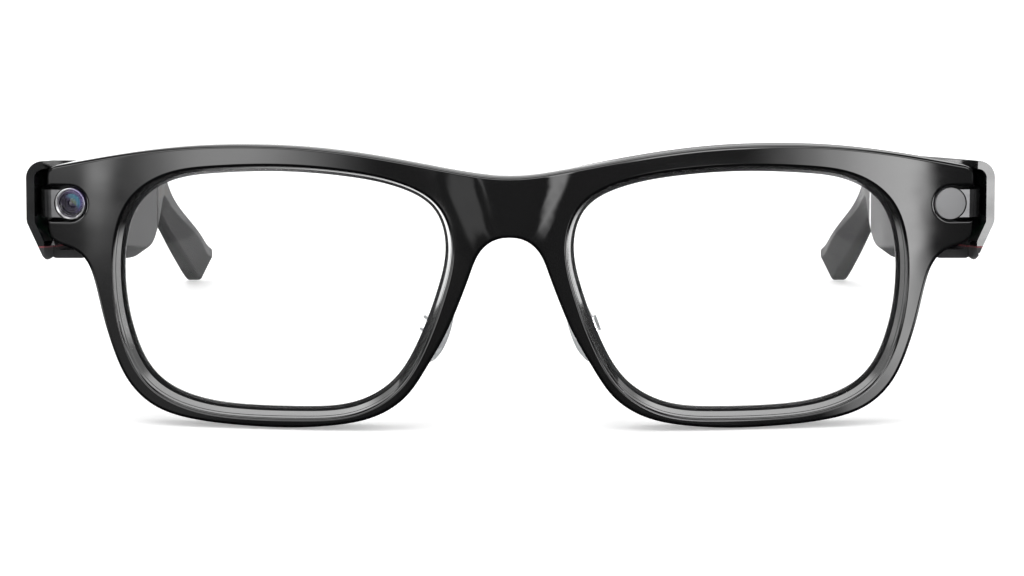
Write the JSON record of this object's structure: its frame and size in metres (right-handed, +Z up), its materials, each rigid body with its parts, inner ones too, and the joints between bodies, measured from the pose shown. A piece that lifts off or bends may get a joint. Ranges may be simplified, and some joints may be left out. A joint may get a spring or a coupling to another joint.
{
  "type": "smart glasses",
  "caption": "Full-rim smart glasses with a wrapped front, a camera and an indicator in its end pieces, and hollow temples that fold on pinned hinges.",
  "frame": {"origin": "middle of the bottom of the overall box, on the surface that the rims and temple tips rest on", "axes": "+X is the wearer's left, +Y runs back along the temples, +Z is up; the front faces -Y"},
  "size_m": [0.1543, 0.1494, 0.0449],
  "materials": {
    "front_gloss": "polished black acetate",
    "rear_gloss": "polished black acetate",
    "lens_clear": "clear, anti-reflective",
    "flex_amber": "polyimide film",
    "bezel_metal": "turned dark grey rings",
    "barrel_black": "blackened barrel",
    "camera_glass": "coated flat glass",
    "coated_glass": "teal and violet coating",
    "board_green": "solder mask",
    "indicator_grey": "even mid grey diffuser",
    "strap_metal": "dark polished coating",
    "pin_steel": "turned",
    "screw_steel": "turned",
    "pad_silicone": "clear soft silicone",
    "button_black": "gloss",
    "button_silver": "fine ridges",
    "switch_plastic": "moulded",
    "charge_plate_black": "moulded",
    "contact_gold": "gold flash",
    "temple_gloss": "polished black",
    "cover_satin": "fine satin texture",
    "gasket_red": "thin dark red seam",
    "tip_matte": "soft-touch matte",
    "core_steel": "strip",
    "battery_foil": "foil pouch",
    "speaker_black": "moulded box",
    "grille_steel": "blackened mesh",
    "microphone_can": "pressed can"
  },
  "bodies": {
    "front": {"front_frame": "front_gloss", "rear_frame": "rear_gloss", "lens_left": "lens_clear", "lens_right": "lens_clear", "brow_flex_cable": "flex_amber", "camera_bezel": "bezel_metal", "camera_barrel": "barrel_black", "camera_cover_glass": "camera_glass", "camera_lens": "coated_glass", "camera_sensor_board": "board_green", "indicator_disc": "indicator_grey", "indicator_led_board": "board_green", "hinge_strap_left": "strap_metal", "hinge_strap_right": "strap_metal", "hinge_pin_left": "pin_steel", "hinge_pin_right": "pin_steel", "frame_screws": "screw_steel", "nose_pad_arm_left": "pin_steel", "nose_pad_arm_right": "pin_steel"},
    "nose_pad_left": {"nose_pad_left": "pad_silicone"},
    "nose_pad_right": {"nose_pad_right": "pad_silicone"},
    "temple_left": {"temple_shell_left": "temple_gloss", "temple_cover_left": "cover_satin", "temple_gasket_left": "gasket_red", "temple_tip_left": "tip_matte", "temple_core_left": "core_steel", "temple_hinge_left": "pin_steel", "hinge_screws_left": "screw_steel", "battery_left": "battery_foil", "circuit_board_left": "board_green", "speaker_left": "speaker_black", "speaker_grille_left": "grille_steel", "microphone_left": "microphone_can"},
    "temple_right": {"temple_shell_right": "temple_gloss", "temple_cover_right": "cover_satin", "temple_gasket_right": "gasket_red", "temple_tip_right": "tip_matte", "temple_core_right": "core_steel", "temple_hinge_right": "pin_steel", "hinge_screws_right": "screw_steel", "battery_right": "battery_foil", "circuit_board_right": "board_green", "speaker_right": "speaker_black", "speaker_grille_right": "grille_steel", "microphone_right": "microphone_can", "button_switch": "switch_plastic", "charge_plate": "charge_plate_black", "charge_contacts": "contact_gold"},
    "side_button": {"side_button": "button_black", "side_button_ridges": "button_silver"}
  },
  "joints": [
    {"name": "temple_left_fold", "type": "hinge", "parent": "front", "child": "temple_left", "pos_m": [0.0683, -0.05423, 0.03465], "axis": [0, 0.0993, 0.9951], "range_deg": [0, 91]},
    {"name": "temple_right_fold", "type": "hinge", "parent": "front", "child": "temple_right", "pos_m": [-0.0683, -0.05423, 0.03465], "axis": [0, -0.0993, -0.9951], "range_deg": [0, 78]},
    {"name": "side_button_press", "type": "slide", "parent": "temple_right", "child": "side_button", "axis": [1, 0, 0], "range_m": [0, 0.0004], "stiffness_N_per_m": 1500},
    {"name": "nose_pad_left_rock", "type": "hinge", "parent": "front", "child": "nose_pad_left", "pos_m": [0.01308, -0.06375, 0.01504], "axis": [-0.5049, -0.8257, -0.2514], "range_deg": [-8, 8]},
    {"name": "nose_pad_right_rock", "type": "hinge", "parent": "front", "child": "nose_pad_right", "pos_m": [-0.01308, -0.06375, 0.01504], "axis": [0.5049, -0.8257, -0.2514], "range_deg": [-8, 8]}
  ]
}
